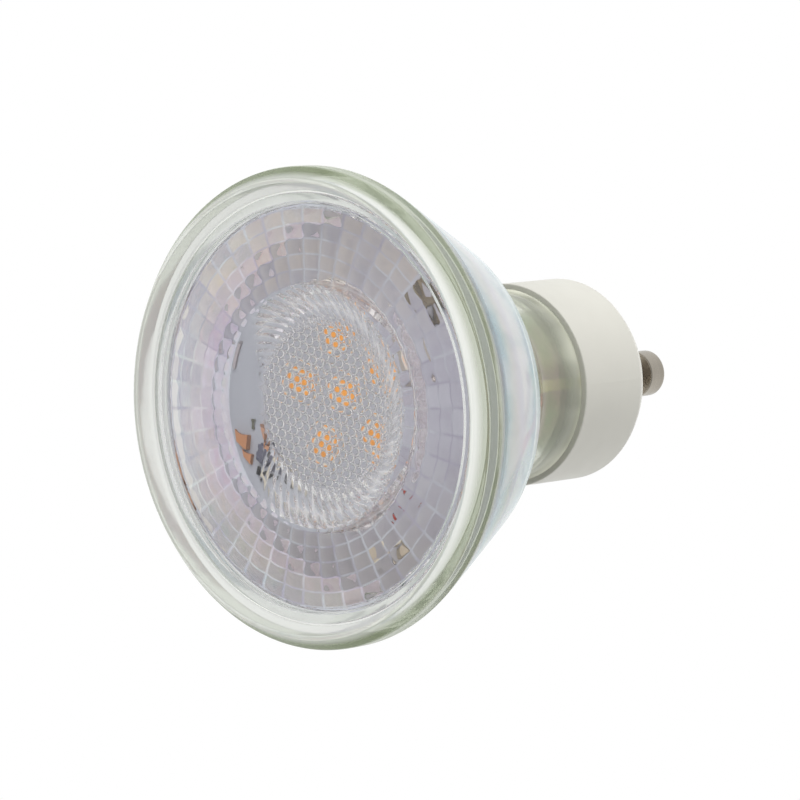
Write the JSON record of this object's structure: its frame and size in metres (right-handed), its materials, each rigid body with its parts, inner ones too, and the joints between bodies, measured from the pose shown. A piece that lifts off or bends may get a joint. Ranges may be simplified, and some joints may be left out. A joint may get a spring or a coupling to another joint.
{
  "type": "gu10 spotlight bulb",
  "caption": "Twist-and-lock spotlight bulb with a clear glass reflector body, a faceted lens over a light board, and a white base with headed pins.",
  "frame": {"origin": "centre of the front rim's face, on the bulb's axis", "axes": "+Z along the bulb's axis from the front rim to the pins, as the bulb hangs in a ceiling; X runs through the centres of both pins"},
  "size_m": [0.05, 0.05, 0.0515],
  "materials": {
    "clear_glass": "clear pressed glass, faint violet and blue coat on the bowl",
    "lens_plastic": "clear moulded, polished",
    "clear_bond": "clear silicone, satin",
    "board_mask": "white solder mask over aluminium, satin",
    "white_bond": "white silicone, satin",
    "led_case": "moulded, satin",
    "phosphor": "filled silicone, satin",
    "chip_black": "moulded, matte",
    "film_brown": "satin",
    "ceramic_beige": "satin",
    "resistor_black": "satin",
    "bare_board": "glass-fibre board, satin",
    "can_sleeve": "shrunk sleeve, gloss",
    "fuse_body": "lacquered, satin",
    "ferrite": "wound core, matte",
    "wire_red": "insulation, satin",
    "wire_white": "insulation, satin",
    "tinned_wire": "tinned, satin",
    "cement": "matte",
    "white_base": "moulded, satin",
    "pin_plate": "nickel plate, polished"
  },
  "bodies": {
    "root": {"glass_reflector": "clear_glass", "front_lens": "lens_plastic", "lens_bond": "clear_bond", "led_board": "board_mask", "board_bond": "white_bond", "led_1": "led_case", "led_2": "led_case", "led_3": "led_case", "led_4": "led_case", "led_5": "led_case", "led_6": "led_case", "phosphor_1": "phosphor", "phosphor_2": "phosphor", "phosphor_3": "phosphor", "phosphor_4": "phosphor", "phosphor_5": "phosphor", "phosphor_6": "phosphor", "rectifier": "chip_black", "driver_chip": "chip_black", "film_capacitor_1": "film_brown", "film_capacitor_2": "film_brown", "film_capacitor_3": "film_brown", "ceramic_capacitor_1": "ceramic_beige", "ceramic_capacitor_2": "ceramic_beige", "chip_resistor_1": "resistor_black", "chip_resistor_2": "resistor_black", "chip_resistor_3": "resistor_black", "supply_board": "bare_board", "smoothing_capacitor": "can_sleeve", "safety_resistor": "fuse_body", "choke": "ferrite", "link_wire_1": "wire_red", "link_wire_2": "wire_white", "pin_wire_1": "tinned_wire", "pin_wire_2": "tinned_wire", "neck_cement": "cement", "base_cap": "white_base", "pin_1": "pin_plate", "pin_2": "pin_plate"}
  },
  "joints": []
}
